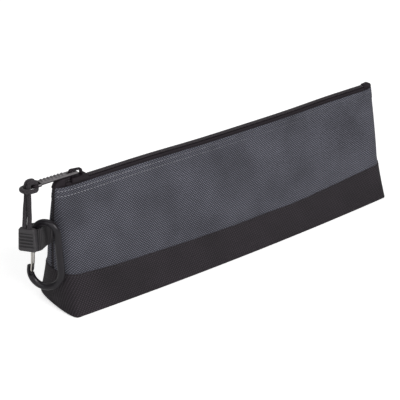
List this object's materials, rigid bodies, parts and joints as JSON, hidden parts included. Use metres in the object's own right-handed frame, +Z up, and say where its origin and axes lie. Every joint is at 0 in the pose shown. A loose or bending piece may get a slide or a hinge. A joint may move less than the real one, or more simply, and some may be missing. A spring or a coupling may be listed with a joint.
{
  "type": "zippered tool bag",
  "caption": "Long stand-up zippered tool bag with a dark boot, corded zip pull, side webbing loop and wire-gate carabiner.",
  "frame": {"origin": "on the floor under the middle of the bag's base", "axes": "+X along the bag to the right seen from the front, +Z up, the front faces -Y"},
  "size_m": [0.4042, 0.0692, 0.118],
  "materials": {
    "grey_fabric": "dark bluish grey ballistic weave, matt",
    "black_fabric": "black ballistic weave, matt",
    "zip_tape": "black woven zip tape",
    "zip_coil": "dark nylon coil, satin",
    "black_webbing": "black cross-ribbed webbing",
    "black_metal": "black enamel, satin",
    "grey_metal": "grey plated casting, satin",
    "silver_wire": "bright steel wire",
    "black_cord": "black braided cord",
    "grip_plastic": "moulded dark plastic, satin",
    "anodised_black": "black anodised, satin"
  },
  "bodies": {
    "bag": {"boot": "black_fabric", "left_side_binding": "black_fabric", "right_side_binding": "black_fabric", "left_tape_end": "zip_tape", "right_tape_end": "zip_tape", "left_coil_end": "zip_coil", "right_coil_end": "zip_coil", "left_end_tab": "zip_tape", "right_end_tab": "zip_tape", "webbing_loop": "black_webbing"},
    "front_wall": {"front_panel": "grey_fabric", "front_tape": "zip_tape", "front_coil": "zip_coil"},
    "rear_wall": {"rear_panel": "grey_fabric", "rear_tape": "zip_tape", "rear_coil": "zip_coil"},
    "slider": {"slider_body": "black_metal", "slider_bail": "black_metal"},
    "pull_tab": {"pull_tab": "grey_metal"},
    "pull_cord": {"pull_cord": "black_cord", "cord_grip": "grip_plastic"},
    "carabiner": {"carabiner_frame": "anodised_black"},
    "gate": {"gate_wire": "silver_wire"}
  },
  "joints": [
    {"name": "slider_travel", "type": "slide", "parent": "bag", "child": "slider", "axis": [1, 0, 0.0072], "range_m": [0, 0.31381]},
    {"name": "pull_tab_swing", "type": "hinge", "parent": "slider", "child": "pull_tab", "pos_m": [-0.1589, 0, 0.11267], "axis": [0, 1, 0], "range_deg": [0, 165.1]},
    {"name": "cord_swing", "type": "hinge", "parent": "pull_tab", "child": "pull_cord", "pos_m": [-0.1997, 0, 0.11267], "axis": [0, 1, 0], "range_deg": [0, 157]},
    {"name": "front_wall_open", "type": "hinge", "parent": "bag", "child": "front_wall", "pos_m": [0, -0.02584, 0.0292], "axis": [1, 0, 0], "range_deg": [0, 20]},
    {"name": "rear_wall_open", "type": "hinge", "parent": "bag", "child": "rear_wall", "pos_m": [0, 0.02584, 0.0292], "axis": [-1, 0, 0], "range_deg": [0, 20]},
    {"name": "carabiner_swing", "type": "hinge", "parent": "bag", "child": "carabiner", "pos_m": [-0.19989, 0, 0.05], "axis": [0, 0, 1], "range_deg": [-22, 0]},
    {"name": "gate_open", "type": "hinge", "parent": "carabiner", "child": "gate", "pos_m": [-0.20102, 0.00161, 0.0605], "axis": [-0.8192, -0.5736, 0], "range_deg": [0, 30], "stiffness_Nm_per_rad": 0.02, "springref_deg": -17.19}
  ],
  "couplings": [
    {"joint": "pull_tab_swing", "follows": "slider_travel", "rad_per_m": 9.1824},
    {"joint": "cord_swing", "follows": "slider_travel", "rad_per_m": 8.7319}
  ]
}
